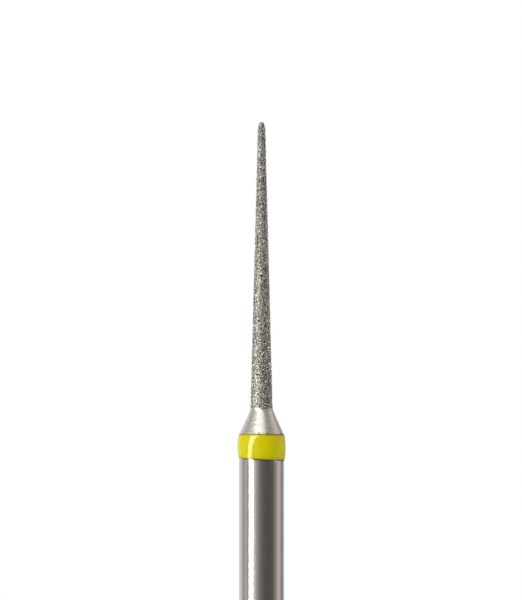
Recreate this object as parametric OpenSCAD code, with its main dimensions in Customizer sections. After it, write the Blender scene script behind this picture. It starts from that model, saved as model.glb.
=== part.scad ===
// A friction-grip dental bur with a long, tapered, diamond-coated head.
// It is turned about the Z axis: z = 0 is the end face of the shank and the tip points up.
// The steel blank is one piece, from the shank through the neck to the core of the head.
// The head carries a thin diamond coat, and a bead of lacquer round the shank is the colour ring.

/* [Shank] */
// Diameter of the shank, which the chuck of the handpiece grips
shank_d = 1.6; // [1.2:0.05:2.4]
// Length of the shank, from its end face to the colour ring
shank_len = 10.95; // [6:0.05:34]
// Radius of the rounded edge round the end face
end_round_r = 0.2; // [0.05:0.05:0.5]

/* [Colour ring] */
// Height of the ring along the shank
ring_h = 0.9; // [0.4:0.05:2.5]
// How far the middle of the ring stands proud of the shank
ring_proud = 0.062; // [0.02:0.001:0.12]
// How far the two edges of the ring stand proud of the shank
ring_edge_proud = 0.006; // [0.001:0.001:0.015]

/* [Neck] */
// Length of the neck, from the colour ring to the diamond coat
neck_len = 0.95; // [0.7:0.05:3]
// Step in from the shank's surface to the foot of the neck
neck_step = 0.005; // [0.005:0.005:0.08]
// Radius of the hollow where the neck runs into the head
neck_fillet_r = 0.4; // [0.1:0.05:0.5]

/* [Head] */
// Length of the coated head
head_len = 10.2; // [4:0.1:16]
// Diameter over the coat at the foot of the head
head_base_d = 0.8; // [0.55:0.01:1]
// Diameter that the straight taper would have at the very tip
head_end_d = 0.27; // [0.21:0.01:0.45]
// Radius of the point of the nose
nose_r = 0.09; // [0.045:0.005:0.095]
// Radius of the long curve between the nose and the straight taper
shoulder_r = 0.3; // [0.25:0.05:1]
// Thickness of the diamond coat over the steel core
coat_t = 0.016; // [0.008:0.002:0.032]

/* [Hidden] */

// Curves: facets round the axis, and steps along each arc and along the ring's bead
$fn = 96;
arc_steps = 10;
bead_steps = 12;
// How full the bead is, from 0.5 for half an ellipse to 1 for a parabola
bead_power = 0.7;

// Radii
shank_r = shank_d / 2;
neck_foot_r = shank_r - neck_step;
head_base_r = head_base_d / 2;
head_end_r = head_end_d / 2;

// Heights above the end face
ring_z = shank_len;
neck_z = ring_z + ring_h;
head_z = neck_z + neck_len;
tip_z = head_z + head_len;

// The straight taper of the head: its half angle, its direction towards the tip and its outward normal
taper = atan((head_base_r - head_end_r) / head_len);
taper_dir = [-sin(taper), cos(taper)];
taper_normal = [cos(taper), sin(taper)];
head_foot = [head_base_r, head_z];

// The nose is centred on the axis. The shoulder arc touches both the taper and the nose:
// its centre lies shoulder_r inside the taper and shoulder_r - nose_r from the nose's centre.
nose_centre = [0, tip_z - nose_r];
nose_to_taper = (head_foot - nose_centre) * taper_normal;
shoulder_run = (nose_centre - head_foot) * taper_dir
    - sqrt((shoulder_r - nose_r) ^ 2 - (shoulder_r - nose_to_taper) ^ 2);
shoulder_centre = head_foot + shoulder_run * taper_dir - shoulder_r * taper_normal;
shoulder_end = angle_to(shoulder_centre, nose_centre);

// The neck is flush with the coat, which starts on a small step down to the core.
// The fillet touches the head's outline there, and the neck's cone runs from its foot to the fillet.
neck_foot = [neck_foot_r, neck_z];
core_foot = head_foot - coat_t * taper_normal;
fillet_centre = head_foot + neck_fillet_r * taper_normal;
cone_angle = angle_to(neck_foot, fillet_centre)
    + asin(neck_fillet_r / norm(fillet_centre - neck_foot));

// Direction from one point to another, in degrees
function angle_to(from, to) = atan2(to.y - from.y, to.x - from.x);

// Points along an arc, both ends included
function arc(centre, r, start, end) = [
    for (i = [0:arc_steps])
        let (a = start + (end - start) * i / arc_steps)
        centre + r * [cos(a), sin(a)]
];

// Outline of the head from the shoulder to the tip, moved inwards by the same distance all along
function head_outline(inset) = concat(
    arc(shoulder_centre, shoulder_r - inset, taper, shoulder_end),
    arc(nose_centre, nose_r - inset, shoulder_end, 90)
);

// Outline of the ring's bead, fullest at its middle and falling away ever faster to its edges
function bead_outline() = [
    for (i = [0:bead_steps])
        let (t = 2 * i / bead_steps - 1)
        let (swell = (ring_proud - ring_edge_proud) * (1 - t ^ 2) ^ bead_power)
        [shank_r + ring_edge_proud + swell, ring_z + ring_h * (t + 1) / 2]
];

// Turned steel: shank, neck and core
module steel_blank() {
    end_centre = [shank_r - end_round_r, end_round_r];
    color("silver")
        rotate_extrude()
            polygon(concat(
                [[0, 0]],
                arc(end_centre, end_round_r, -90, 0),
                [[shank_r, neck_z], neck_foot],
                arc(fillet_centre, neck_fillet_r, cone_angle + 90, taper + 180),
                [core_foot],
                head_outline(coat_t)
            ));
}

// Diamond grit held in nickel, of one thickness from the foot of the head right over the tip
module diamond_coat() {
    core_outline = head_outline(coat_t);
    color("darkgray")
        rotate_extrude()
            polygon(concat(
                [core_foot, head_foot],
                head_outline(0),
                [for (i = [len(core_outline) - 1:-1:0]) core_outline[i]]
            ));
}

// Lacquer bead that marks the grade of the grit
module colour_ring() {
    color("gold")
        rotate_extrude()
            polygon(concat(
                [[shank_r, neck_z], [shank_r, ring_z]],
                bead_outline()
            ));
}

steel_blank();
diamond_coat();
colour_ring();
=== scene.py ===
"""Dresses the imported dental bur: ground shank, turned neck, lacquer ring and diamond-coated head."""

import logging
import math
from dataclasses import dataclass, field
from enum import Enum, IntEnum
from typing import Any

import bpy
import numpy as np
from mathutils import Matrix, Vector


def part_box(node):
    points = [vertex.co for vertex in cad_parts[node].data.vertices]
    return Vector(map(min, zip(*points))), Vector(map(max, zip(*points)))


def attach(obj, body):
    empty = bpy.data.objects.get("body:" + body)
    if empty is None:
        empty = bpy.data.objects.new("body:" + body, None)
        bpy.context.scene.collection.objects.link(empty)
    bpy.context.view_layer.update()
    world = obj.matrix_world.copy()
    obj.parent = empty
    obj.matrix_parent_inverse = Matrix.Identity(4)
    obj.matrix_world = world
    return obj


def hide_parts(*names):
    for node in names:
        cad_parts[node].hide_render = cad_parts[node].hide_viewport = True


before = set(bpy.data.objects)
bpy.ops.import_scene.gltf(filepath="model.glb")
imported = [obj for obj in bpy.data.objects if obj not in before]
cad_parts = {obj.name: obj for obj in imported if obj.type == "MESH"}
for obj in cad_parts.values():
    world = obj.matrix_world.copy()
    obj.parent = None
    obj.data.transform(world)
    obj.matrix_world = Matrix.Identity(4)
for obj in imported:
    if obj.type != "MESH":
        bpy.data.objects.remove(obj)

LOG = logging.getLogger("dental_bur")
MM = 0.001
TURN = 2 * math.pi
BODY = "root"
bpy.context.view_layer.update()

Socket = bpy.types.NodeSocket
Inputs = dict[str | int, Any]
Colour = tuple[float, float, float, float]
Stops = list[tuple[float, Colour]]
Screens = tuple[tuple[float, str], ...]

# A Mix node has a pair of inputs and an output for each type of data. These are the colours' numbers.
MIX_A, MIX_B, MIX_RESULT = 6, 7, 2

# Large odd numbers that scatter a lattice corner and a seed, then shifts and factors that stir the result.
SCATTER = (73856093, 19349663, 83492791)
SEED_FACTOR = 2654435761
STIRS = ((15, 2246822519), (13, 3266489917))
HASH_DROP, HASH_MASK = 8, 0xFFFF


class Slot(Enum):
    """The record's material slots."""

    STEEL = "polished_steel"
    GRIT = "diamond_grit"
    LACQUER = "yellow_lacquer"


class Mark(Enum):
    """Numbers that a mesh carries at its points for its material to read."""

    HEIGHT = "height"
    TINT = "tint"
    RIM = "rim"
    GLOW = "glow"


class Seed(IntEnum):
    """Seeds of the random places and of the noises."""

    GROOVES = 3
    SCRATCHES = 4
    GRAINS = 7
    LOWER_EDGE = 11
    UPPER_EDGE = 12
    SWELL = 13
    NICKEL = 21


def linear(code: str) -> Colour:
    """Turns an sRGB hex colour into the linear colour that a shader socket takes.

    Args:
        code: Six hex digits, such as "C8C4BC".

    Returns:
        Linear red, green and blue, with alpha 1.
    """
    parts = (int(code[i : i + 2], 16) / 255 for i in (0, 2, 4))
    red, green, blue = (c / 12.92 if c <= 0.04045 else ((c + 0.055) / 1.055) ** 2.4 for c in parts)
    return red, green, blue, 1.0


def per_metre(size_mm: float) -> float:
    """Gives the texture scale at which one cell of a pattern is size_mm wide."""
    return 1 / (size_mm * MM)


def feed(tree: bpy.types.NodeTree, node: bpy.types.Node, inputs: Inputs) -> None:
    """Sets or links what a node's inputs take.

    Args:
        tree: The node tree.
        node: The node.
        inputs: Socket name or number, with a value to set or another node's output to link.
    """
    for key, value in inputs.items():
        if isinstance(value, Socket):
            tree.links.new(value, node.inputs[key])
        else:
            node.inputs[key].default_value = value


def add(
    tree: bpy.types.NodeTree, kind: str, inputs: Inputs | None = None, stops: Stops | None = None,
    **settings: Any,
) -> bpy.types.Node:
    """Adds one node, with its settings and what its inputs take.

    Args:
        tree: The node tree.
        kind: Blender's name of the node's type.
        inputs: Socket name or number, with a value to set or another node's output to link.
        stops: Position and linear colour of each stop in order, where the node holds a colour ramp.
        settings: The node's own settings by name.

    Returns:
        The new node.
    """
    node = tree.nodes.new(kind)
    for name, value in settings.items():
        setattr(node, name, value)
    for number, (place, colour) in enumerate(stops or []):
        elements = node.color_ramp.elements
        element = elements[number] if number < len(elements) else elements.new(place)
        element.position, element.color = place, colour
    feed(tree, node, inputs or {})
    return node


def started(name: str) -> tuple[bpy.types.Material, bpy.types.NodeTree, bpy.types.Node]:
    """Starts a material.

    Args:
        name: The real material and how its surface was made.

    Returns:
        The material, its node tree and its main shader.
    """
    made = bpy.data.materials.new(name)
    made.use_nodes = True
    return made, made.node_tree, made.node_tree.nodes["Principled BSDF"]


def roughen(
    tree: bpy.types.NodeTree, shader: bpy.types.Node, height: Socket, roughness: float,
    gloss: tuple[float, float], depth_mm: float,
) -> None:
    """Lets a pattern of heights from 0 to 1 bump a surface and change its gloss.

    Args:
        tree: The node tree.
        shader: The main shader.
        height: The pattern.
        roughness: Roughness in the middle of the pattern.
        gloss: What the roughness is multiplied by at 0 and at 1.
        depth_mm: Depth of the bump in millimetres.
    """
    low, high = (roughness * share for share in gloss)
    rough = add(tree, "ShaderNodeMapRange", {"Value": height, "To Min": low, "To Max": high})
    bump = add(tree, "ShaderNodeBump", {"Height": height, "Distance": depth_mm * MM})
    feed(tree, shader, {"Roughness": rough.outputs["Result"], "Normal": bump.outputs["Normal"]})


def noise3(points: np.ndarray, cell: float | np.ndarray, seed: Seed) -> np.ndarray:
    """Smooth value noise in space.

    Each corner of a cubic lattice has a hashed value from -1 to 1. A point takes the mean of its cell's
    eight corners, each weighted by the product of 3t^2 - 2t^3 along the three axes.

    Args:
        points: Array of shape (..., 3), in millimetres.
        cell: Side of a lattice cell in millimetres, or its three sides.
        seed: Picks another set of values.

    Returns:
        Array of shape (...).
    """
    place = points / cell
    low = np.floor(place).astype(np.int64)
    t = place - low
    weight = t * t * (3 - 2 * t)
    total = np.zeros(points.shape[:-1])
    for corner in np.ndindex(2, 2, 2):
        step = np.array(corner)
        x, y, z = np.moveaxis((low + step).astype(np.uint64) * np.array(SCATTER, np.uint64), -1, 0)
        h = x ^ y ^ z ^ np.uint64(int(seed) * SEED_FACTOR)
        for shift, factor in STIRS:
            h = (h ^ (h >> np.uint64(shift))) * np.uint64(factor)
        value = ((h >> np.uint64(HASH_DROP)) & np.uint64(HASH_MASK)).astype(float) / (HASH_MASK / 2) - 1
        total += value * np.prod(np.where(step == 1, weight, 1 - weight), axis=-1)
    return total


def turned(radius: np.ndarray, height: np.ndarray, angle: np.ndarray) -> np.ndarray:
    """Places points round the axis: x = r sin(angle), y = -r cos(angle), z = height.

    Args:
        radius: Distances from the axis, in millimetres.
        height: Heights, in millimetres.
        angle: Angles from the front (-Y) towards +X, in radians.

    Returns:
        Array of points with a last axis of 3.
    """
    radius, height, angle = np.broadcast_arrays(radius, height, angle)
    return np.stack([radius * np.sin(angle), -radius * np.cos(angle), height], axis=-1)


def angles(count: int) -> np.ndarray:
    """Equal steps once round the axis, in radians."""
    return np.arange(count) * (TURN / count)


def between_turns(angle: np.ndarray) -> np.ndarray:
    """Brings angles into the half turn either side of zero."""
    return (angle + math.pi) % TURN - math.pi


def mesh_object(name: str, points: np.ndarray, faces: np.ndarray, smooth: bool = True) -> bpy.types.Object:
    """Makes a mesh object at the origin from points in millimetres.

    Args:
        name: The piece's name.
        points: Array of shape (n, 3).
        faces: Array of corner numbers of shape (m, 3) or (m, 4), anticlockwise from outside. A face of
            four corners whose last is -1 is a triangle.
        smooth: Whether the faces are shaded smooth.

    Returns:
        The new object, linked to the scene.
    """
    mesh = bpy.data.meshes.new(name)
    corners = faces[faces >= 0]
    counts = (faces >= 0).sum(axis=1)
    mesh.vertices.add(len(points))
    mesh.vertices.foreach_set("co", (points * MM).astype(np.float32).ravel())
    mesh.loops.add(len(corners))
    mesh.loops.foreach_set("vertex_index", corners.astype(np.int32))
    mesh.polygons.add(len(faces))
    mesh.polygons.foreach_set("loop_start", np.r_[0, np.cumsum(counts)[:-1]].astype(np.int32))
    mesh.polygons.foreach_set("use_smooth", np.full(len(faces), smooth))
    mesh.update(calc_edges=True)
    mesh.validate()
    made = bpy.data.objects.new(name, mesh)
    bpy.context.scene.collection.objects.link(made)
    return made


def carry(piece: bpy.types.Object, mark: Mark, values: np.ndarray) -> None:
    """Gives each point of a piece's mesh a number that its material reads."""
    numbers = piece.data.attributes.new(mark.value, "FLOAT", "POINT").data
    numbers.foreach_set("value", values.astype(np.float32))


def band_faces(rows: int, columns: int, loop: bool = False) -> np.ndarray:
    """Quads between the rows of a grid that closes round the axis.

    Corner (i, j) is number i * columns + j. Each quad joins it to (i, j+1), (i+1, j+1) and (i+1, j).

    Args:
        rows: Number of rings of points.
        columns: Points in each ring.
        loop: Whether the last ring joins the first.

    Returns:
        Array of corner numbers of shape (m, 4).
    """
    i = np.arange(rows if loop else rows - 1)[:, None]
    j = np.arange(columns)[None, :]
    after, beside = (i + 1) % rows, (j + 1) % columns
    quads = [i * columns + j, i * columns + beside, after * columns + beside, after * columns + j]
    return np.stack(np.broadcast_arrays(*quads), axis=-1).reshape(-1, 4)


def fan_faces(pole: int, start: int, columns: int, over: bool) -> np.ndarray:
    """Triangles from a point on the axis to each side of a ring of points.

    Args:
        pole: Number of the point on the axis.
        start: Number of the ring's first point.
        columns: Points in the ring.
        over: Whether the fan faces up the grid, past its last ring, or down, past its first.

    Returns:
        Array of corner numbers of shape (columns, 4), the last of each -1.
    """
    here = np.arange(columns)
    beside = (here + 1) % columns
    pair = [here, beside] if over else [beside, here]
    return np.stack([np.full(columns, pole), start + pair[0], start + pair[1], np.full(columns, -1)], axis=-1)


def closed_turning(name: str, grid: np.ndarray, foot: np.ndarray, tip: np.ndarray) -> bpy.types.Object:
    """Makes a closed turned piece from rings of points and a point on the axis at each end.

    Args:
        name: The piece's name.
        grid: Array of shape (rows, columns, 3), from the foot up.
        foot: The point that closes the first ring.
        tip: The point that closes the last ring.

    Returns:
        The new object.
    """
    rows, columns = grid.shape[:2]
    points = np.vstack([grid.reshape(-1, 3), foot, tip])
    under = fan_faces(rows * columns, 0, columns, over=False)
    over = fan_faces(rows * columns + 1, (rows - 1) * columns, columns, over=True)
    return mesh_object(name, points, np.vstack([band_faces(rows, columns), under, over]))


def dress(piece: bpy.types.Object, materials: list[bpy.types.Material], slot: Slot, *nodes: str) -> None:
    """Gives a piece its materials and its body, and hides the CAD nodes that it stands for.

    Args:
        piece: The piece.
        materials: Its materials, in the order of its faces' material numbers.
        slot: Not used.
        nodes: Names of the nodes.
    """
    for material in materials:
        piece.data.materials.append(material)
    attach(piece, BODY)
    if nodes:
        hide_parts(*nodes)
    LOG.info("%s: %d faces", piece.name, len(piece.data.polygons))


@dataclass(frozen=True)
class MarkedSteel:
    """Stainless steel with fine marks round the bur's axis, as its maker's tool or wheel left them."""

    name: str
    colour: str
    roughness: float
    gloss: tuple[float, float]
    mark_mm: float
    round_mm: float
    depth_mm: float
    detail: float

    def material(self) -> bpy.types.Material:
        """Builds the material: noise squeezed along Z bumps the surface and changes its gloss.

        Returns:
            The material.
        """
        made, tree, shader = started(self.name)
        place = add(tree, "ShaderNodeTexCoord").outputs["Object"]
        squeeze = [per_metre(size) for size in (self.round_mm, self.round_mm, self.mark_mm)]
        vector = add(tree, "ShaderNodeMapping", {"Vector": place, "Scale": squeeze}).outputs["Vector"]
        marks = add(tree, "ShaderNodeTexNoise", {"Vector": vector, "Scale": 1.0, "Detail": self.detail})
        roughen(tree, shader, marks.outputs["Fac"], self.roughness, self.gloss, self.depth_mm)
        feed(tree, shader, {"Base Color": linear(self.colour), "Metallic": 1.0})
        return made


@dataclass(frozen=True)
class GroundSteel(MarkedSteel):
    """Stainless steel, centreless ground and polished.

    It gives the eye clear mirror bands along the shank, with hardly a mark. Real polishing marks are under
    0.01 mm wide, too fine to show, so they are drawn as 0.03 mm.
    """

    name: str = "ground stainless steel"
    colour: str = "CBC9C5"
    roughness: float = 0.09
    gloss: tuple[float, float] = (0.85, 1.15)
    mark_mm: float = 0.03
    round_mm: float = 1.5
    depth_mm: float = 0.000006
    detail: float = 3.0


@dataclass(frozen=True)
class TurnedSteel(MarkedSteel):
    """The same steel straight from the tool.

    It gives the eye a bright satin with grooves round the neck, one for each 0.035 mm that the tool moves
    on in a turn.
    """

    name: str = "turned stainless steel"
    colour: str = "CCCAC8"
    roughness: float = 0.27
    gloss: tuple[float, float] = (0.7, 1.4)
    mark_mm: float = 0.035
    round_mm: float = 0.8
    depth_mm: float = 0.0022
    detail: float = 4.0


@dataclass(frozen=True)
class NickelBond:
    """Electroplated nickel between the grains.

    It gives the eye a grey satin whose colour is painted darker down between the grains as painted shade,
    nearly black in the pits, and brightest where it climbs a grain. Real nodules of plating are about 0.005
    mm, too fine to show, so they are drawn as 0.012 mm.
    """

    pit_shade: str = "1B1A19"
    slope_shade: str = "615F5A"
    bright: str = "B2AFA8"
    slope_at: float = 0.4
    roughness: float = 0.54
    gloss: tuple[float, float] = (0.8, 1.25)
    pebble_mm: float = 0.012
    pebble_depth_mm: float = 0.0015

    def material(self) -> bpy.types.Material:
        """Builds the material: its height mark picks the colour, darker lower down as painted shade in the
        pits, and a fine noise bumps the skin.

        Returns:
            The material.
        """
        made, tree, shader = started("electroplated nickel")
        place = add(tree, "ShaderNodeTexCoord").outputs["Object"]
        pebbles = {"Vector": place, "Scale": per_metre(self.pebble_mm), "Detail": 2.0}
        skin = add(tree, "ShaderNodeTexNoise", pebbles).outputs["Fac"]
        roughen(tree, shader, skin, self.roughness, self.gloss, self.pebble_depth_mm)
        height = add(tree, "ShaderNodeAttribute", attribute_name=Mark.HEIGHT.value).outputs["Fac"]
        # Painted shade: the colour darkens to nearly black down in the pits between the grains.
        stops = [(0.0, linear(self.pit_shade)), (self.slope_at, linear(self.slope_shade)), (1.0, linear(self.bright))]
        colour = add(tree, "ShaderNodeValToRGB", {"Fac": height}, stops).outputs["Color"]
        feed(tree, shader, {"Base Color": colour, "Metallic": 1.0})
        return made


@dataclass(frozen=True)
class DiamondGrain:
    """Crushed synthetic diamond under a thin flash of plated nickel, and so partly metallic.

    It gives the eye blocky crystals from near black to cream, with a bright glint where a flat face
    mirrors the softbox.
    """

    dark: str = "22211F"
    middle: str = "94918B"
    pale: str = "E4E1D9"
    middle_at: float = 0.45
    roughness: float = 0.40
    metallic: float = 0.38
    ior: float = 2.42

    def material(self) -> bpy.types.Material:
        """Builds the material: each grain's own tint mark picks its colour from dark to pale.

        Returns:
            The material.
        """
        made, tree, shader = started("synthetic diamond grit")
        tint = add(tree, "ShaderNodeAttribute", attribute_name=Mark.TINT.value).outputs["Fac"]
        stops = [(0.0, linear(self.dark)), (self.middle_at, linear(self.middle)), (1.0, linear(self.pale))]
        colour = add(tree, "ShaderNodeValToRGB", {"Fac": tint}, stops).outputs["Color"]
        feed(tree, shader, {
            "Base Color": colour, "Roughness": self.roughness, "Metallic": self.metallic, "IOR": self.ior,
        })
        return made


@dataclass(frozen=True)
class RingLacquer:
    """Solvent lacquer, rolled on and stoved.

    It gives the eye a glossy yellow with a pale streak from the softbox. Its colour is painted dark olive
    along its two edges, partly for thin lacquer and partly as painted shade, and dark brown in the runs as
    painted shade. Its orange peel has its real width of 0.16 mm.
    """

    colour: str = "DCD202"
    edge: str = "4C4A08"
    darkest_shade: str = "2A240E"
    edge_at: float = 0.8
    roughness: float = 0.06
    ior: float = 1.5
    specular_level: float = 0.38
    sheen: str = "FFF9E4"
    peel_mm: float = 0.16
    peel_depth_mm: float = 0.00004

    def material(self) -> bpy.types.Material:
        """Builds the material: the bead's rim mark darkens its edges and runs, for thin lacquer and painted
        shade, and a soft noise is its peel.

        Returns:
            The material.
        """
        made, tree, shader = started("yellow stoving lacquer")
        rim = add(tree, "ShaderNodeAttribute", attribute_name=Mark.RIM.value).outputs["Fac"]
        # Painted shade: the rim mark darkens the yellow to olive at the edges, and to a dark brown where that
        # shade is deepest and in the runs.
        stops = [(0.0, linear(self.colour)), (self.edge_at, linear(self.edge)), (1.0, linear(self.darkest_shade))]
        place = add(tree, "ShaderNodeTexCoord").outputs["Object"]
        ripple = {"Vector": place, "Scale": per_metre(self.peel_mm), "Detail": 1.0}
        peel = add(tree, "ShaderNodeTexNoise", ripple).outputs["Fac"]
        bump = add(tree, "ShaderNodeBump", {"Height": peel, "Distance": self.peel_depth_mm * MM})
        feed(tree, shader, {
            "Base Color": add(tree, "ShaderNodeValToRGB", {"Fac": rim}, stops).outputs["Color"],
            "Roughness": self.roughness,
            "IOR": self.ior,
            "Specular IOR Level": self.specular_level,
            "Specular Tint": linear(self.sheen),
            "Normal": bump.outputs["Normal"],
        })
        return made


@dataclass
class HeadShape:
    """Outline of the head, in millimetres: a straight taper, a long shoulder arc and a small round nose.

    The arcs touch each other and the taper, as in the part: the nose is centred on the axis, and the
    shoulder's centre lies shoulder_r inside the taper and shoulder_r - nose_r from the nose's centre.
    """

    foot_z: float
    tip_z: float
    base_r: float = 0.4
    end_r: float = 0.135
    nose_r: float = 0.09
    shoulder_r: float = 0.3

    def __post_init__(self) -> None:
        """Works out the arcs' centres and angles, and the length of each stretch."""
        self.taper = math.atan((self.base_r - self.end_r) / (self.tip_z - self.foot_z))
        self.along = np.array([-math.sin(self.taper), math.cos(self.taper)])
        self.out = np.array([math.cos(self.taper), math.sin(self.taper)])
        self.foot = np.array([self.base_r, self.foot_z])
        self.nose = np.array([0.0, self.tip_z - self.nose_r])
        to_taper = (self.foot - self.nose) @ self.out
        reach = (self.shoulder_r - self.nose_r) ** 2 - (self.shoulder_r - to_taper) ** 2
        self.run = float((self.nose - self.foot) @ self.along - math.sqrt(reach))
        self.shoulder = self.foot + self.run * self.along - self.shoulder_r * self.out
        rise = self.nose - self.shoulder
        turn = math.atan2(rise[1], rise[0])
        self.bend = self.shoulder_r * (turn - self.taper)
        self.cap = self.nose_r * (math.pi / 2 - turn)
        self.length = self.run + self.bend + self.cap

    def normal(self, s: np.ndarray) -> np.ndarray:
        """Angle of the outward normal above the horizontal at each distance, in radians."""
        bent = self.taper + np.clip(s - self.run, 0, self.bend) / self.shoulder_r
        return bent + np.clip(s - self.run - self.bend, 0, self.cap) / self.nose_r

    def at(self, s: np.ndarray, lift: np.ndarray | float = 0.0) -> tuple[np.ndarray, np.ndarray]:
        """Points at distances along the outline, moved out along its normal.

        On the taper a point is foot + s * along. On an arc it is centre + r * (cos a, sin a), where a is
        the angle of the normal and grows by distance / r from where the arc starts.

        Args:
            s: Distances from the foot, in millimetres.
            lift: How far each point stands off the outline.

        Returns:
            Radius and height of each point.
        """
        a = self.normal(s)
        straight = np.clip(s, None, self.run)
        on_nose = s > self.run + self.bend
        centre_r = np.where(on_nose, self.nose[0], self.shoulder[0])
        centre_z = np.where(on_nose, self.nose[1], self.shoulder[1])
        arc = np.where(on_nose, self.nose_r, self.shoulder_r)
        on_taper = s < self.run
        r = np.where(on_taper, self.foot[0] + straight * self.along[0], centre_r + arc * np.cos(a))
        z = np.where(on_taper, self.foot[1] + straight * self.along[1], centre_z + arc * np.sin(a))
        return r + lift * np.cos(a), z + lift * np.sin(a)

    def between(self, s: np.ndarray, ends: tuple[float, float]) -> np.ndarray:
        """Blends evenly along the outline from a value at the foot to one at the tip."""
        return ends[0] + (ends[1] - ends[0]) * s / self.length


@dataclass
class Blank:
    """The turned steel blank, in millimetres: shank, neck and the core under the coat.

    Its rings of points lie neck_row apart on the neck and shank_row apart on the shank. Tool grooves and
    scratches are as wide along Z as their names say, and mark_length long round the axis.
    """

    head: HeadShape
    ring_z: float
    neck_z: float
    shank_r: float = 0.8
    end_round_r: float = 0.2
    neck_step: float = 0.005
    fillet_r: float = 0.4
    core_depth: float = 0.05
    groove: float = 0.07
    groove_depth: float = 0.004
    scratch: float = 0.028
    scratch_depth: float = 0.0014
    mark_length: float = 1.1
    columns: int = 256
    end_rings: int = 6
    round_rings: int = 9
    shank_row: float = 1.0
    neck_row: float = 0.008
    fillet_rings: int = 13
    core_rings: int = 12

    def end_rows(self) -> tuple[np.ndarray, np.ndarray]:
        """Rings of the flat end face and of its rounded edge, a quarter circle.

        Returns:
            Radius and height of each ring.
        """
        flat = self.shank_r - self.end_round_r
        r = np.linspace(0, flat, self.end_rings + 2)[1:-1]
        a = np.radians(np.linspace(-90, 0, self.round_rings))
        edge_r = flat + self.end_round_r * np.cos(a)
        edge_z = self.end_round_r * (1 + np.sin(a))
        return np.r_[r, edge_r], np.r_[r * 0, edge_z]

    def neck_rows(self) -> tuple[np.ndarray, np.ndarray]:
        """Rings of the neck: a cone from its foot to the fillet, and the fillet's arc up to the head.

        Returns:
            Radius and height of each ring.
        """
        head = self.head
        foot = np.array([self.shank_r - self.neck_step, self.neck_z])
        centre = head.foot + self.fillet_r * head.out
        to_centre = centre - foot
        reach = float(np.hypot(*to_centre))
        lean = math.atan2(to_centre[1], to_centre[0]) + math.asin(self.fillet_r / reach)
        run = math.sqrt(reach**2 - self.fillet_r**2)
        t = np.arange(0, run, self.neck_row)
        a = np.linspace(lean + math.pi / 2, head.taper + math.pi, self.fillet_rings)
        r = np.r_[foot[0] + t * math.cos(lean), centre[0] + self.fillet_r * np.cos(a)]
        z = np.r_[foot[1] + t * math.sin(lean), centre[1] + self.fillet_r * np.sin(a)]
        return r, z

    def core_rows(self) -> tuple[np.ndarray, np.ndarray]:
        """Rings of the core, the head's outline moved in by core_depth.

        Returns:
            Radius and height of each ring.
        """
        head = self.head
        straight = np.linspace(0.0, head.run, self.core_rings)
        bent = head.run + np.linspace(0, head.bend + head.cap, self.core_rings + 2)[1:-1]
        return head.at(np.r_[straight, bent], -self.core_depth)

    def build(self) -> bpy.types.Object:
        """Turns the whole outline, with fine tool grooves cut into the neck.

        On the neck the radius changes by two noises, one as wide as a groove along Z and one as wide as
        a scratch. Both are long round the axis, so that each mark runs on round the neck and slowly fades.
        The flat end and all from the neck up are turned steel, and the rest is ground steel.

        Returns:
            The finished piece.
        """
        end_r, end_z = self.end_rows()
        shank_z = np.r_[np.arange(self.shank_row, self.ring_z, self.shank_row), self.ring_z, self.neck_z]
        neck_r, neck_z = self.neck_rows()
        core_r, core_z = self.core_rows()
        radius = np.r_[end_r, shank_z * 0 + self.shank_r, neck_r, core_r]
        height = np.r_[end_z, shank_z, neck_z, core_z]
        grid = turned(radius[:, None], height[:, None], angles(self.columns)[None, :])
        start = len(end_r) + len(shank_z)
        neck = grid[start : start + len(neck_r)]
        long = self.mark_length
        cut = self.groove_depth * noise3(neck, np.array([long, long, self.groove]), Seed.GROOVES)
        cut = cut + self.scratch_depth * noise3(neck, np.array([long, long, self.scratch]), Seed.SCRATCHES)
        neck *= 1 + (cut / np.hypot(neck[..., 0], neck[..., 1]))[..., None] * np.array([1.0, 1.0, 0.0])
        tip = np.array([0.0, 0.0, self.head.tip_z - self.core_depth])
        piece = closed_turning("blank", grid, np.zeros(3), tip)
        dress(piece, [GroundSteel().material(), TurnedSteel().material()], Slot.STEEL, "steel_blank")
        in_neck = np.repeat(height[:-1] >= self.neck_z, self.columns)
        is_turned = np.r_[in_neck, np.ones(self.columns), np.zeros(self.columns)]
        is_turned[: self.end_rings * self.columns] = 1
        piece.data.polygons.foreach_set("material_index", is_turned.astype(np.int32))
        return piece


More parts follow.
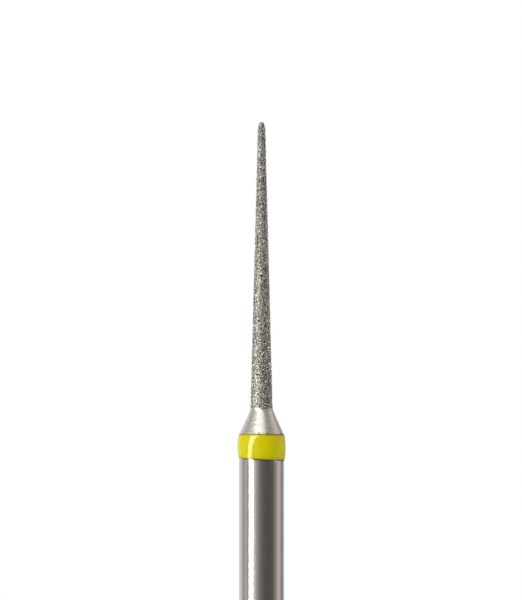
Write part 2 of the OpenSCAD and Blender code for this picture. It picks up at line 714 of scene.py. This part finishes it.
@dataclass
class RingBead:
    """The colour ring, in millimetres: a bead of lacquer, not quite even along its two edges.

    The edges wander by up to wander and the bead's swell by a share of uneven. Each dark rim, partly thin
    lacquer and partly painted shade, has a base share and a change round the axis, and the runs lie at the
    angles of run_turns, in degrees.
    """

    low_z: float
    high_z: float
    shank_r: float = 0.8
    edge_proud: float = 0.006
    proud: float = 0.062
    power: float = 0.7
    bite: float = 0.001
    tilt: float = 0.05
    front_share: float = 0.5
    arch: float = 0.03
    arch_level: float = 0.6
    over: float = 0.018
    wander: float = 0.008
    wander_cells: tuple[float, float] = (0.5, 0.3)
    uneven: float = 0.02
    uneven_cell: float = 0.6
    neck_slope: float = 0.465
    run_height: float = 0.052
    run_width: float = 0.02
    run_turns: tuple[float, ...] = (-7.5, 15.5, 63.0, 118.0, 171.0, 228.0, 301.0)
    run_from: float = 0.75
    run_fade: float = 0.1
    rim: float = 0.042
    lower_rim: tuple[float, float, float] = (0.5, 0.45, 0.2)
    upper_rim: tuple[float, float] = (0.7, 0.2)
    fade: float = 0.13
    shade: tuple[float, float] = (0.17, 0.7)
    columns: int = 480
    rows: int = 48

    def surface(self, height: np.ndarray) -> np.ndarray:
        """Radius of the steel under the lacquer: the shank's, and the neck's cone above its end."""
        return self.shank_r - self.neck_slope * np.clip(height - self.high_z, 0, None)

    def thinness_and_shade(self, t: np.ndarray, angle: np.ndarray, runs: np.ndarray) -> np.ndarray:
        """How dark the lacquer is painted: partly thin lacquer at its edges, partly painted shade.

        With d the way in from the nearer edge, it is a share times exp(-(d / rim)^2). The share is
        b + c cos(angle - e) along the lower edge, with b, c and e from lower_rim, and b + c sin(angle)
        along the upper one, with b and c from upper_rim, so that this painted shade changes round the axis.
        The lower half adds painted shade, b (1 + c sin(angle)) exp(-(d / fade)^2), with b and c from shade,
        darker towards the bottom and on the right. Near the upper edge the runs are darkest, as painted
        shade.

        Args:
            t: Place across the bead from -1 to 1, of shape (rows, 1).
            angle: Angles round the axis.
            runs: How much of a run lies at each angle.

        Returns:
            Array of shape (rows, columns), from 0 to 1.
        """
        inwards = (1 - np.abs(t)) * (self.high_z - self.low_z) / 2
        lower = t < 0
        base, change, turn = self.lower_rim
        high_base, high_change = self.upper_rim
        # The edges' darkness is thin lacquer plus painted shade that changes round the axis.
        below = base + change * np.cos(angle - turn)
        thin_and_shade = np.where(lower, below, high_base + high_change * np.sin(angle))
        edge = np.exp(-((inwards / self.rim) ** 2)) * thin_and_shade
        depth, lean = self.shade
        # Painted shade down the lower half, darker towards the bottom and on the right.
        edge = edge + lower * depth * (1 + lean * np.sin(angle)) * np.exp(-((inwards / self.fade) ** 2))
        return np.maximum(edge.clip(0, 1), np.clip((t - self.run_from) / self.run_fade, 0, 1) * runs)

    def build(self) -> bpy.types.Object:
        """Makes the bead as a closed ring.

        Across the bead t runs from -1 to 1, and it stands edge_proud + (proud - edge_proud) (1 - t^2)^power
        off the shank. Its lower edge is lower on the right by tilt and at the front by a share of it, and
        its upper edge is higher at the front by arch. Both wander a little. A few fine runs of lacquer,
        each run_height * exp(-(d / run_width)^2) high, creep up from the upper edge. What lies above the
        shank's end follows the neck's slope, and the inner face lies bite deep in the steel.

        Returns:
            The finished piece.
        """
        angle = angles(self.columns)
        t = -np.cos(np.linspace(0, math.pi, self.rows))[:, None]
        swell = (self.proud - self.edge_proud) * (1 - t**2) ** self.power
        rim = turned(np.full(self.columns, self.shank_r), 0.0, angle)
        low_wander, high_wander = (
            self.wander * noise3(rim, cell, seed)
            for cell, seed in zip(self.wander_cells, (Seed.LOWER_EDGE, Seed.UPPER_EDGE), strict=True)
        )
        low = self.low_z - self.tilt * (np.sin(angle) + self.front_share * np.cos(angle)) + low_wander
        high = self.high_z + self.over + self.arch * (np.cos(angle) - self.arch_level) + high_wander
        away = between_turns(angle - np.radians(self.run_turns)[:, None]) * self.shank_r
        runs = np.exp(-((away / self.run_width) ** 2)).sum(axis=0)
        high = high + self.run_height * runs
        height = low + (high - low) * (t + 1) / 2
        ripple = noise3(turned(self.shank_r, height, angle), self.uneven_cell, Seed.SWELL)
        off = self.edge_proud + swell * (1 + self.uneven * ripple)
        outer = turned(self.surface(height) + off, height, angle)
        edges = np.stack([high, low])
        inner = turned(self.surface(edges) - self.bite, edges, angle)
        grid = np.concatenate([outer, inner])
        faces = band_faces(len(grid), self.columns, loop=True)
        piece = mesh_object("ring_bead", grid.reshape(-1, 3), faces)
        # The rim mark: darker at the edges for thin lacquer and painted shade, painted shade down the lower
        # half, and the runs painted darkest.
        share = np.concatenate([self.thinness_and_shade(t, angle, runs), np.ones((2, self.columns))])
        carry(piece, Mark.RIM, share.ravel())
        dress(piece, [RingLacquer().material()], Slot.LACQUER, "colour_ring")
        return piece


@dataclass
class Grit:
    """One layer of diamond grains over the head, in millimetres.

    Real grit of this grade is about 0.03 mm, which is under a pixel in the picture, so the grains are
    drawn about 1.7 times as coarse to show. A pair of values for missing or tilt is the share of grains
    lost, or the grains' usual tilt in radians, at the foot and at the tip.
    """

    head: HeadShape
    pitch: float = 0.047
    first_ring: float = 0.4
    fewest: int = 5
    jitter: float = 0.45
    grain: float = 0.0505
    spread: float = 0.24
    size_limits: tuple[float, float] = (0.6, 1.5)
    stretch: tuple[float, float] = (0.72, 1.18)
    knock: float = 0.07
    bare_tip: float = 0.12
    missing: tuple[float, float] = (0.10, 0.18)
    tilt: tuple[float, float] = (0.13, 0.15)
    proud: tuple[float, float] = (-0.004, 0.002)
    overhang: float = 0.004
    tint: tuple[float, float] = (1.6, 1.9)
    s: np.ndarray = field(init=False)
    angle: np.ndarray = field(init=False)
    size: np.ndarray = field(init=False)
    kept: np.ndarray = field(init=False)
    starts: np.ndarray = field(init=False)
    counts: np.ndarray = field(init=False)
    rng: np.random.Generator = field(init=False)

    def __post_init__(self) -> None:
        """Lays the grains in rings a pitch apart, then shifts each one at random by up to jitter of it."""
        rng = self.rng = np.random.default_rng(int(Seed.GRAINS))
        rings = np.arange(self.pitch * self.first_ring, self.head.length - self.bare_tip, self.pitch)
        r, _ = self.head.at(rings)
        self.counts = np.maximum(self.fewest, np.round(TURN * r / self.pitch)).astype(int)
        self.starts = np.r_[0, np.cumsum(self.counts)[:-1]]
        total = int(self.counts.sum())
        ring = np.repeat(np.arange(len(rings)), self.counts)
        place = np.arange(total) - self.starts[ring]
        phase = rng.random(len(rings))[ring]
        self.s = rings[ring] + self.pitch * rng.uniform(-self.jitter, self.jitter, total)
        shift = rng.uniform(-self.jitter, self.jitter, total)
        self.angle = TURN * (place + phase + shift) / self.counts[ring]
        self.size = self.grain * np.exp(self.spread * rng.standard_normal(total)).clip(*self.size_limits)
        self.kept = rng.random(total) > self.head.between(self.s, self.missing)

    @staticmethod
    def rotated(shapes: np.ndarray, angle: np.ndarray, first: int, second: int) -> np.ndarray:
        """Turns each shape by its own angle, from the first of two axes towards the second.

        Args:
            shapes: Corners of shape (total, corners, 3).
            angle: The angles, in radians.
            first: Number of the first axis.
            second: Number of the second axis.

        Returns:
            The turned corners.
        """
        made = shapes.copy()
        c, s = np.cos(angle)[:, None], np.sin(angle)[:, None]
        made[..., first] = shapes[..., first] * c - shapes[..., second] * s
        made[..., second] = shapes[..., first] * s + shapes[..., second] * c
        return made

    @staticmethod
    def outward(corners: np.ndarray, three: np.ndarray) -> np.ndarray:
        """Orders three corners so that their triangle faces away from the middle."""
        a, b, c = corners[three]
        return three if np.cross(b - a, c - a) @ (a + b + c) > 0 else three[::-1]

    def cuboctahedron(self) -> tuple[np.ndarray, np.ndarray]:
        """A cube with its corners cut off to the middle of its edges.

        Its twelve corners are (+-1, +-1, 0) / sqrt 2 in every order. Each of its eight small triangles
        joins the three corners that lie furthest along a diagonal, and each of its six squares is two
        triangles.

        Returns:
            Corners of shape (12, 3) and triangles of shape (20, 3).
        """
        corners = np.array([
            [a if k == (axis + 1) % 3 else b if k == (axis + 2) % 3 else 0 for k in range(3)]
            for axis in range(3) for a in (-1, 1) for b in (-1, 1)
        ], float) / math.sqrt(2)
        facing = []
        for sides in np.ndindex(2, 2, 2):
            sign = np.array(sides) * 2 - 1
            facing.append(self.outward(corners, np.argsort(-(corners @ sign), kind="stable")[:3]))
        for axis in range(3):
            for sign in (-1, 1):
                four = np.flatnonzero(corners[:, axis] * sign > 0.5)
                first = four[0]
                far = four[np.argmin(corners[four] @ corners[first])]
                left, right = (k for k in four if k not in (first, far))
                facing.append(self.outward(corners, np.array([first, left, far])))
                facing.append(self.outward(corners, np.array([first, far, right])))
        return corners, np.array(facing)

    def crystals(self) -> tuple[np.ndarray, np.ndarray]:
        """Shapes of the grains, about one across.

        Each starts as a cuboctahedron. It is stretched along three axes, and each corner is knocked off
        its place. Then it is spun round its upright and tilted to a random side. The tilt is mostly small,
        because grains settle on a flat face while they are plated on, and so most of them also turn a flat
        face outwards.

        Returns:
            Corners of shape (total, 12, 3), with Z outwards, and triangles of shape (20, 3).
        """
        rng, total = self.rng, len(self.s)
        corners, triangles = self.cuboctahedron()
        shapes = corners[None] * rng.uniform(*self.stretch, (total, 1, 3))
        shapes = shapes + rng.normal(0, self.knock, shapes.shape)
        shapes = self.rotated(shapes, rng.uniform(0, TURN, total), 0, 1)
        shapes = self.rotated(shapes, rng.exponential(self.head.between(self.s, self.tilt)), 1, 2)
        shapes = self.rotated(shapes, rng.uniform(0, TURN, total), 0, 1)
        return shapes / 2, triangles

    def build(self) -> bpy.types.Object:
        """Sets each grain into the coat, so that its top is about level with the coat's outer surface.

        Returns:
            The finished piece.
        """
        shapes, triangles = self.crystals()
        lean = self.head.normal(self.s)
        around = turned(1.0, 0.0, self.angle + math.pi / 2)
        along = turned(-np.sin(lean), np.cos(lean), self.angle)
        out = turned(np.cos(lean), np.sin(lean), self.angle)
        upright = shapes * self.size[:, None, None]
        scaled = np.einsum("nki,nij->nkj", upright, np.stack([around, along, out], axis=1))
        lift = -upright[..., 2].max(axis=1) + self.rng.uniform(*self.proud, len(out))
        r, z = self.head.at(self.s, lift)
        points = turned(r, z, self.angle)[:, None, :] + scaled
        low = points[..., 2].min(axis=1) < self.head.foot_z - self.overhang
        points = points[self.kept & ~low]
        count, corners = points.shape[:2]
        faces = (np.arange(count)[:, None, None] * corners + triangles[None]).reshape(-1, 3)
        piece = mesh_object("grit", points.reshape(-1, 3), faces, smooth=False)
        carry(piece, Mark.TINT, np.repeat(self.rng.beta(*self.tint, count), corners))
        dress(piece, [DiamondGrain().material()], Slot.GRIT)
        return piece

    def nearest(self, s: np.ndarray, angle: np.ndarray, radius: np.ndarray) -> np.ndarray:
        """Distance from points of the head to the nearest grain's centre, in millimetres.

        The grains lie in rings, so a point looks only at its own ring and the two beside it, and there
        at the grain of its own angle and the two beside that. Where all of them are missing it is 1.

        Args:
            s: Distances along the outline.
            angle: Angles round the axis.
            radius: Radius at each point.

        Returns:
            The distances.
        """
        far = 1.0
        best = np.full(s.shape, far)
        ring = np.round(s / self.pitch - self.first_ring).astype(int)
        for step in (-1, 0, 1):
            k = np.clip(ring + step, 0, len(self.counts) - 1)
            count, start = self.counts[k], self.starts[k]
            first = self.angle[start] / TURN * count
            near = np.round(angle / TURN * count - first).astype(int)
            for side in (-1, 0, 1):
                i = start + (near + side) % count
                away = np.hypot(s - self.s[i], between_turns(angle - self.angle[i]) * radius)
                best = np.minimum(best, np.where(self.kept[i], away, far))
        return best


@dataclass
class Bond:
    """The nickel that holds the grains, in millimetres: lower between them, and drawn up round each one.

    Its depth between the grains goes from the first value at the foot to the second at the tip. The skin
    turns smooth over bare_fade, from bare_lead before the last grains.
    """

    head: HeadShape
    grit: Grit
    columns: int = 140
    rows: int = 690
    depth: tuple[float, float] = (0.024, 0.036)
    climb: float = 0.020
    reach: float = 0.0275
    lumps: float = 0.004
    lump_cell: float = 0.05
    lumps_lost: float = 0.6
    bare_lead: float = 0.04
    bare_fade: float = 0.08
    bare_bright: float = 0.75
    cap_lift: float = 0.007
    inside: float = 0.048
    inner_gap: float = 0.01
    bent_rings: int = 10
    straight_rings: int = 12

    def build(self) -> bpy.types.Object:
        """Makes the coat as a closed sleeve over the core.

        The outer skin lies depth under the coat's outline, plus climb * exp(-(d / reach)^2), where d is the
        distance to the nearest grain, plus a lumpy noise. Near the nose it is smooth and stands cap_lift
        off the outline. The inner skin is the outline moved in by inside.

        Returns:
            The finished piece.
        """
        head = self.head
        s = np.linspace(0, head.length, self.rows + 1)[:-1][:, None]
        angle = angles(self.columns)[None, :]
        r, z = head.at(s)
        s_all, angle_all = np.broadcast_arrays(s, angle)
        near = self.grit.nearest(s_all, angle_all, np.broadcast_to(r, s_all.shape))
        fade_from = head.length - self.grit.bare_tip - self.bare_lead
        bare = np.clip((s - fade_from) / self.bare_fade, 0, 1)
        drawn_up = np.exp(-((near / self.reach) ** 2))
        lift = -head.between(s, self.depth) * (1 - bare) + self.cap_lift * bare
        lift = lift + self.climb * drawn_up * (1 - bare)
        lumps = noise3(turned(r, z, angle), self.lump_cell, Seed.NICKEL)
        lift = lift + self.lumps * lumps * (1 - self.lumps_lost * bare)
        out_r, out_z = head.at(s, lift)
        outer = turned(out_r, out_z, angle)
        bent = head.length - np.linspace(self.inner_gap, head.cap + head.bend, self.bent_rings)
        straight = np.linspace(head.run, 0, self.straight_rings)
        core_r, core_z = head.at(np.r_[bent, straight], -self.inside)
        inner = turned(core_r[:, None], core_z[:, None], angle)
        # The inner skin runs down from its own pole and the outer one up to its own: they meet at the foot.
        core_tip = np.array([0.0, 0.0, head.tip_z - self.inside])
        tip = np.array([0.0, 0.0, head.tip_z + self.cap_lift])
        piece = closed_turning("bond", np.concatenate([inner, outer]), core_tip, tip)
        # The height mark paints shade on the nickel: low between the grains, where its colour turns nearly
        # black, higher where it climbs a grain, and a set level on the smooth cap.
        shown = np.maximum(drawn_up, bare * self.bare_bright)
        hidden = np.zeros(inner.shape[0] * self.columns)
        carry(piece, Mark.HEIGHT, np.r_[hidden, shown.ravel(), 0.0, self.bare_bright])
        dress(piece, [NickelBond().material()], Slot.GRIT, "diamond_coat")
        return piece


# What metal and lacquer show of the studio: turn from the camera's side towards +X, in degrees, and colour.
SCREENS: Screens = (
    (-180, "E0DEDF"), (-158, "E4E2E3"), (-141, "F8F4F6"), (-117, "D5D1D0"), (-107, "B1AFAD"), (-99, "BBBAB2"),
    (-92, "D8D7CE"), (-86, "CDCCC5"), (-78, "B1B0AC"), (-68, "C8C5C2"), (-38, "F2ECEA"), (-26, "C0BDB9"),
    (-16, "9F9C96"), (-5, "87847E"), (5, "73716E"), (15, "6A6967"), (30, "625F5D"), (48, "686362"),
    (59, "6C6666"), (70, "918985"), (84, "BAB0A8"), (97, "E8DAD2"), (108, "D8CBC6"), (116, "C3B8B8"),
    (126, "9A9194"), (139, "ACACB8"), (156, "BEC0C8"), (180, "E0DEDF"),
)
CEILING: Screens = (
    (-180, "E0DEDF"), (-128, "F3EEF2"), (-110, "BAB2B4"), (-94, "D2CECA"), (-79, "DCD8D4"), (-60, "D8D4D0"),
    (0, "C0BCB8"), (40, "B6B2AC"), (52, "ACAAA2"), (64, "A2A29A"), (77, "C2BEB6"), (92, "EDE4DA"),
    (108, "FFF4EE"), (126, "D0C8CA"), (150, "CCCCD4"), (180, "E0DEDF"),
)
TABLE: Screens = (
    (-180, "E0DEDF"), (-60, "BEBCB8"), (0, "787674"), (55, "B4B8B8"), (90, "F0F6F8"), (130, "F4F6F8"),
    (180, "E0DEDF"),
)

# Rows of the glowing cards, from the lowest up: rise, turn of the left and right edge, and strength.
SOFTBOX = (
    (-42, -98, -58, 12.5), (-28, -84, -56, 12.5), (-13, -74, -54, 12.5), (0, -66.5, -47, 12.5),
    (14, -62, -32, 12.0), (22, -58, -26, 12.0), (29, -44, -10, 7.0), (35, -40, 0, 2.0), (42, -54, 22, 1.45),
    (56, -50, 34, 1.45),
)
REFLECTOR = ((-60, 78, 146, 16.0), (-45, 78, 146, 16.0), (-30, 80, 142, 16.0), (-25, 82, 140, 0.6))


@dataclass
class Studio:
    """Camera, white surroundings, softbox, reflector, two lamps and a plain floor, in millimetres.

    The picture's frame, the bur's axis and its tip are in pixels of the photograph. A pair of faces is the
    turn and rise of a card's direction, and ceiling and table are the heights of a direction, from -1 to
    1, between which they take over from the screens.
    """

    tip_z: float
    axis_px: float = 261.6
    tip_px: float = 122.2
    px_per_mm: float = 28.0
    width_px: int = 522
    height_px: int = 600
    distance: float = 500.0
    sensor: float = 36.0
    clip_m: tuple[float, float] = (0.01, 10.0)
    matt_level: str = "BBBABA"
    ceiling: tuple[float, float] = (0.15, 0.6)
    table: tuple[float, float] = (-0.12, -0.5)
    card_distance: float = 300.0
    softbox_faces: tuple[float, float] = (-45.0, 12.0)
    reflector_faces: tuple[float, float] = (110.0, -40.0)
    cloth: str = "FFFEFA"
    lamp_distance: float = 270.0
    lamp_size: float = 90.0
    paper: str = "F4F3F1"
    paper_roughness: float = 0.8
    floor_rings: tuple[float, ...] = (120.0, 80.0, 40.0, 15.0, 4.0, 1.0)
    floor_columns: int = 96
    floor_fade: tuple[float, float] = (0.35, 0.98)

    @staticmethod
    def toward(turn: float, rise: float) -> np.ndarray:
        """Direction from the bur, turned from the camera's side towards +X and raised, both in degrees."""
        a, b = math.radians(turn), math.radians(rise)
        return np.array([math.sin(a) * math.cos(b), -math.cos(a) * math.cos(b), math.sin(b)])

    def camera(self) -> None:
        """Sets the camera level with the middle of the picture, looking along +Y through a long lens."""
        data = bpy.data.cameras.new("camera")
        data.sensor_width = self.sensor
        data.lens = self.sensor * self.distance * self.px_per_mm / self.height_px
        data.clip_start, data.clip_end = self.clip_m
        camera = bpy.data.objects.new("camera", data)
        x = (self.width_px / 2 - self.axis_px) / self.px_per_mm
        z = self.tip_z - (self.height_px / 2 - self.tip_px) / self.px_per_mm
        camera.location = (x * MM, -self.distance * MM, z * MM)
        camera.rotation_euler = (math.pi / 2, 0, 0)
        bpy.context.scene.collection.objects.link(camera)
        bpy.context.scene.camera = camera

    @staticmethod
    def read_screens(tree: bpy.types.NodeTree, share: Socket, screens: Screens) -> Socket:
        """Gives the colour of the screen that stands at a share of the full turn."""
        stops = [((turn + 180) / 360, linear(code)) for turn, code in screens]
        return add(tree, "ShaderNodeValToRGB", {"Fac": share}, stops).outputs["Color"]

    def world(self) -> None:
        """Sets the surroundings that light and metal see, and a white background for the camera.

        Matt surfaces are lit by one plain level from all sides. Metal shows the studio: a white backdrop
        behind the bur, pale and grey screens at the sides and a dim room behind the camera. The turn of a
        direction from the camera picks a screen. The ceiling takes over from about 9 degrees up and the
        table from about 7 degrees down.
        """
        world = bpy.data.worlds.new("studio")
        bpy.context.scene.world = world
        # The surroundings are even enough to be found by chance, so they aren't sampled as a lamp.
        world.cycles.sampling_method = "NONE"
        world.use_nodes = True
        tree = world.node_tree
        tree.nodes.clear()
        way = add(tree, "ShaderNodeTexCoord").outputs["Generated"]
        parts = add(tree, "ShaderNodeSeparateXYZ", {"Vector": way}).outputs
        ahead = add(tree, "ShaderNodeMath", {0: parts["Y"], 1: -1.0}, operation="MULTIPLY").outputs[0]
        turn = add(tree, "ShaderNodeMath", {0: parts["X"], 1: ahead}, operation="ARCTAN2").outputs[0]
        scaled = {0: turn, 1: 1 / TURN, 2: 0.5}
        share = add(tree, "ShaderNodeMath", scaled, operation="MULTIPLY_ADD").outputs[0]
        studio = self.read_screens(tree, share, SCREENS)
        for screens, (start, full) in ((CEILING, self.ceiling), (TABLE, self.table)):
            other = self.read_screens(tree, share, screens)
            reach = {"Value": parts["Z"], "From Min": start, "From Max": full}
            part = add(tree, "ShaderNodeMapRange", reach, interpolation_type="SMOOTHSTEP").outputs["Result"]
            mix = {"Factor": part, MIX_A: studio, MIX_B: other}
            studio = add(tree, "ShaderNodeMix", mix, data_type="RGBA").outputs[MIX_RESULT]
        ray = add(tree, "ShaderNodeLightPath").outputs
        pair = {0: ray["Is Glossy Ray"], 1: ray["Is Transmission Ray"]}
        metal = add(tree, "ShaderNodeMath", pair, operation="MAXIMUM").outputs[0]
        mix = {"Factor": metal, MIX_A: linear(self.matt_level), MIX_B: studio}
        lit = add(tree, "ShaderNodeMix", mix, data_type="RGBA").outputs[MIX_RESULT]
        mix = {"Factor": ray["Is Camera Ray"], MIX_A: lit, MIX_B: linear("FFFFFF")}
        shown = add(tree, "ShaderNodeMix", mix, data_type="RGBA").outputs[MIX_RESULT]
        light = add(tree, "ShaderNodeBackground", {"Color": shown, "Strength": 1.0})
        add(tree, "ShaderNodeOutputWorld", {"Surface": light.outputs[0]})

    def card(self, name: str, rows: tuple[tuple[float, ...], ...], faces: tuple[float, float]) -> None:
        """Hangs a flat glowing card that only metal and lacquer show.

        Each row of its cloth has a rise, the turn of its left and right edge, and a strength: directions
        from the bur are taken out to the card's plane.

        Args:
            name: The card's name.
            rows: The rows, from the lowest up, with angles in degrees.
            faces: Turn and rise of the direction in which the card hangs and which it faces.
        """
        facing = self.toward(*faces)
        ways = np.array([self.toward(turn, row[0]) for row in rows for turn in row[1:3]])
        points = ways * (self.card_distance / (ways @ facing))[:, None]
        first = np.arange(len(rows) - 1)[:, None] * 2
        card = mesh_object(name, points, first + np.array([[0, 1, 3, 2]]))
        carry(card, Mark.GLOW, np.repeat([row[3] for row in rows], 2))
        glow = bpy.data.materials.new(f"{name} cloth")
        glow.use_nodes = True
        tree = glow.node_tree
        tree.nodes.clear()
        strength = add(tree, "ShaderNodeAttribute", attribute_name=Mark.GLOW.value).outputs["Fac"]
        cloth = add(tree, "ShaderNodeEmission", {"Color": linear(self.cloth), "Strength": strength})
        add(tree, "ShaderNodeOutputMaterial", {"Surface": cloth.outputs[0]})
        # Reflected rays find the card by themselves, which gives it clean edges in polished steel.
        glow.cycles.emission_sampling = "NONE"
        card.data.materials.append(glow)
        card.visible_camera = card.visible_diffuse = card.visible_shadow = False

    def cards(self) -> None:
        """Hangs the softbox on the left, which leans over the bur, and a reflector low on the right.

        The softbox's top, which only the neck shows, glows less. The reflector lies far below and behind,
        so that the upright shank hardly shows it, and it mostly lights the right side of the grit.
        """
        self.card("softbox", SOFTBOX, self.softbox_faces)
        self.card("reflector", REFLECTOR, self.reflector_faces)

    def lamp(self, name: str, turn: float, rise: float, level: float, colour: str) -> None:
        """Hangs a lamp for the matt surfaces and the shadow on the floor; metal and lacquer don't show it.

        A lamp of power P at distance d lights a matt white surface to P / (pi d)^2.

        Args:
            name: The lamp's name.
            turn: Its direction from the bur, in degrees from the camera's side towards +X.
            rise: Its elevation in degrees.
            level: How bright it lights a matt white surface that faces it.
            colour: Its colour as sRGB hex.
        """
        reach = self.lamp_distance * MM
        data = bpy.data.lights.new(name, "AREA")
        data.size = self.lamp_size * MM
        data.energy = level * (math.pi * reach) ** 2
        data.color = linear(colour)[:3]
        lamp = bpy.data.objects.new(name, data)
        lamp.location = tuple(self.toward(turn, rise) * reach)
        lamp.rotation_euler = (math.pi / 2 - math.radians(rise), 0.0, math.radians(turn))
        lamp.visible_glossy = lamp.visible_camera = False
        bpy.context.scene.collection.objects.link(lamp)

    def floor(self) -> None:
        """Lays matt white paper, a round sheet whose rim fades into the white surroundings.

        Metal doesn't show it, because the table of the surroundings takes its place there.
        """
        height = np.zeros((len(self.floor_rings), 1))
        grid = turned(np.array(self.floor_rings)[:, None], height, angles(self.floor_columns)[None, :])
        rows, columns = grid.shape[:2]
        points = np.vstack([grid.reshape(-1, 3), np.zeros(3)])
        middle = fan_faces(rows * columns, (rows - 1) * columns, columns, over=True)
        floor = mesh_object("floor", points, np.vstack([band_faces(rows, columns), middle]))
        made, tree, shader = started("matt white paper")
        feed(tree, shader, {"Base Color": linear(self.paper), "Roughness": self.paper_roughness})
        place = add(tree, "ShaderNodeTexCoord").outputs["Object"]
        reach = add(tree, "ShaderNodeVectorMath", {0: place}, operation="LENGTH").outputs["Value"]
        near, far = (self.floor_rings[0] * share * MM for share in self.floor_fade)
        fade = add(tree, "ShaderNodeMapRange", {
            "Value": reach, "From Min": near, "From Max": far,
        }, interpolation_type="SMOOTHSTEP").outputs["Result"]
        clear = add(tree, "ShaderNodeBsdfTransparent").outputs[0]
        mix = add(tree, "ShaderNodeMixShader", {0: fade, 1: shader.outputs[0], 2: clear})
        feed(tree, tree.nodes["Material Output"], {"Surface": mix.outputs[0]})
        floor.data.materials.append(made)
        floor.visible_glossy = False

    def build(self) -> None:
        """Sets up the whole studio."""
        self.camera()
        self.world()
        self.cards()
        self.lamp("key", turn=-54.0, rise=25.0, level=0.5, colour="FFFBF2")
        self.lamp("fill", turn=88.0, rise=10.0, level=0.13, colour="DCEAF2")
        self.floor()
        bpy.context.scene.view_settings.view_transform = "Standard"


def main() -> None:
    """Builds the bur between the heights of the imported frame, then its studio."""
    logging.basicConfig(level=logging.INFO, format="%(name)s: %(message)s")
    coat_low, coat_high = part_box("diamond_coat")
    ring_low, ring_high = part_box("colour_ring")
    head = HeadShape(foot_z=round(coat_low[2] / MM, 2), tip_z=coat_high[2] / MM)
    Blank(head, ring_z=ring_low[2] / MM, neck_z=ring_high[2] / MM).build()
    RingBead(low_z=ring_low[2] / MM, high_z=ring_high[2] / MM).build()
    grit = Grit(head)
    Bond(head, grit).build()
    grit.build()
    Studio(head.tip_z).build()


if __name__ == "__main__":
    main()
